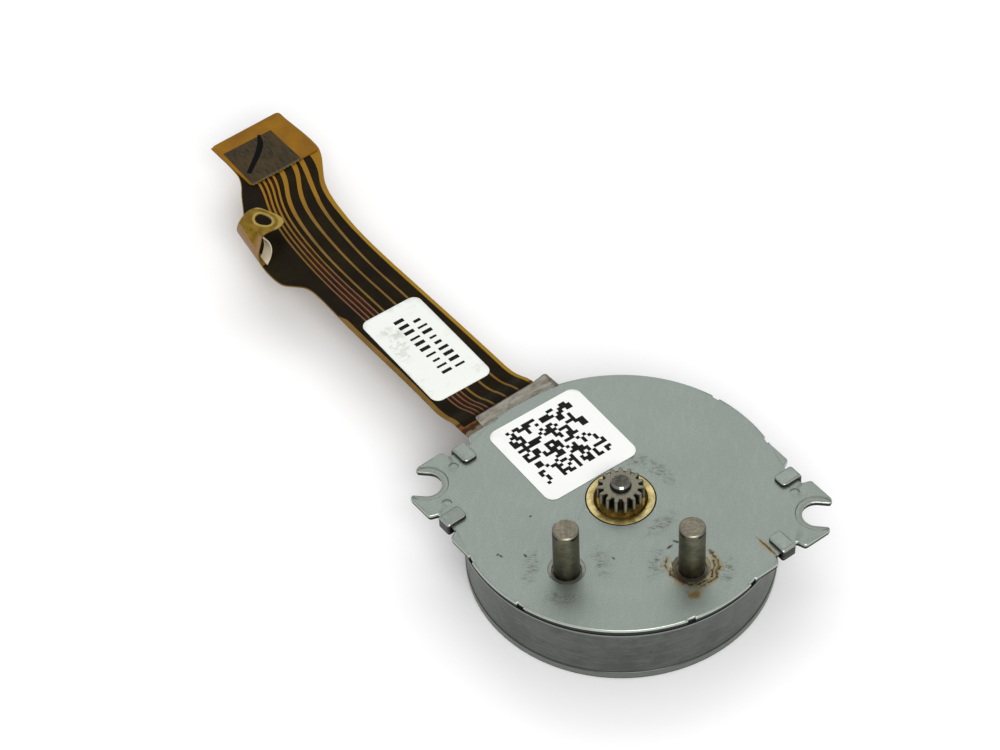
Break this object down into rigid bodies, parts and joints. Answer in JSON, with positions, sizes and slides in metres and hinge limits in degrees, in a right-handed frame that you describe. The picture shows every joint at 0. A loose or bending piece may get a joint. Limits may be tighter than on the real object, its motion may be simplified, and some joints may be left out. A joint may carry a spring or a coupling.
{
  "type": "flat brushless gear-drive motor",
  "caption": "Flat brushless motor: notched mounting plate crimped to a drawn can, pinion in a brass holder, fixed gear posts, and a formed flexible circuit tail.",
  "frame": {"origin": "middle of the can's closed face, on the shaft axis", "axes": "+Z along the shaft towards the pinion, +X through the middle of the right mounting ear, +Y towards the side where the flexible circuit leaves"},
  "size_m": [0.0818, 0.0816, 0.017],
  "materials": {
    "zinc_plate": "satin zinc plating, faintly green-grey",
    "can_steel": "drawn steel with fine turned lines",
    "bearing_brass": "turned, oily",
    "sintered_bronze": "porous, oil filled",
    "white_plastic": "matt",
    "post_steel": "ground",
    "lamination_steel": "stamped stack",
    "insulator_plastic": "moulded",
    "copper_winding": "enamelled copper wire",
    "tinned_metal": "tinned",
    "board_laminate": "solder mask",
    "black_plastic": "moulded",
    "flex_polyimide": "dark cover film over copper, amber margins",
    "stiffener_polyimide": "amber",
    "contact_gold": "plated",
    "grey_tape": "translucent grey",
    "label_white": "coated label",
    "sticker_white": "coated sticker",
    "clear_film": "translucent grey",
    "shaft_steel": "ground",
    "pinion_steel": "sintered, greased",
    "hub_brass": "turned",
    "yoke_steel": "drawn",
    "magnet_black": "ferrite"
  },
  "bodies": {
    "housing": {"mounting_plate": "zinc_plate", "rear_can": "can_steel", "bearing_holder": "bearing_brass", "front_bush": "sintered_bronze", "rear_bush": "sintered_bronze", "thrust_pad": "white_plastic", "gear_post_left": "post_steel", "gear_post_right": "post_steel", "stator_core": "lamination_steel", "core_insulators": "insulator_plastic", "coils": "copper_winding", "terminal_pins": "tinned_metal", "circuit_board": "board_laminate", "hall_sensors": "black_plastic", "solder_joints": "tinned_metal", "flex_circuit": "flex_polyimide", "contact_stiffener": "stiffener_polyimide", "contact_pads": "contact_gold", "tape_patch": "grey_tape", "part_label": "label_white", "code_sticker": "sticker_white", "insulating_film": "clear_film"},
    "rotor": {"shaft": "shaft_steel", "pinion": "pinion_steel", "rotor_hub": "hub_brass", "rotor_yoke": "yoke_steel", "ring_magnet": "magnet_black", "thrust_washer": "white_plastic", "stop_washer": "black_plastic"}
  },
  "joints": [
    {"name": "rotor_spin", "type": "hinge", "parent": "housing", "child": "rotor", "pos_m": [0, 0, 0.01], "axis": [0, 0, 1], "continuous": true}
  ]
}
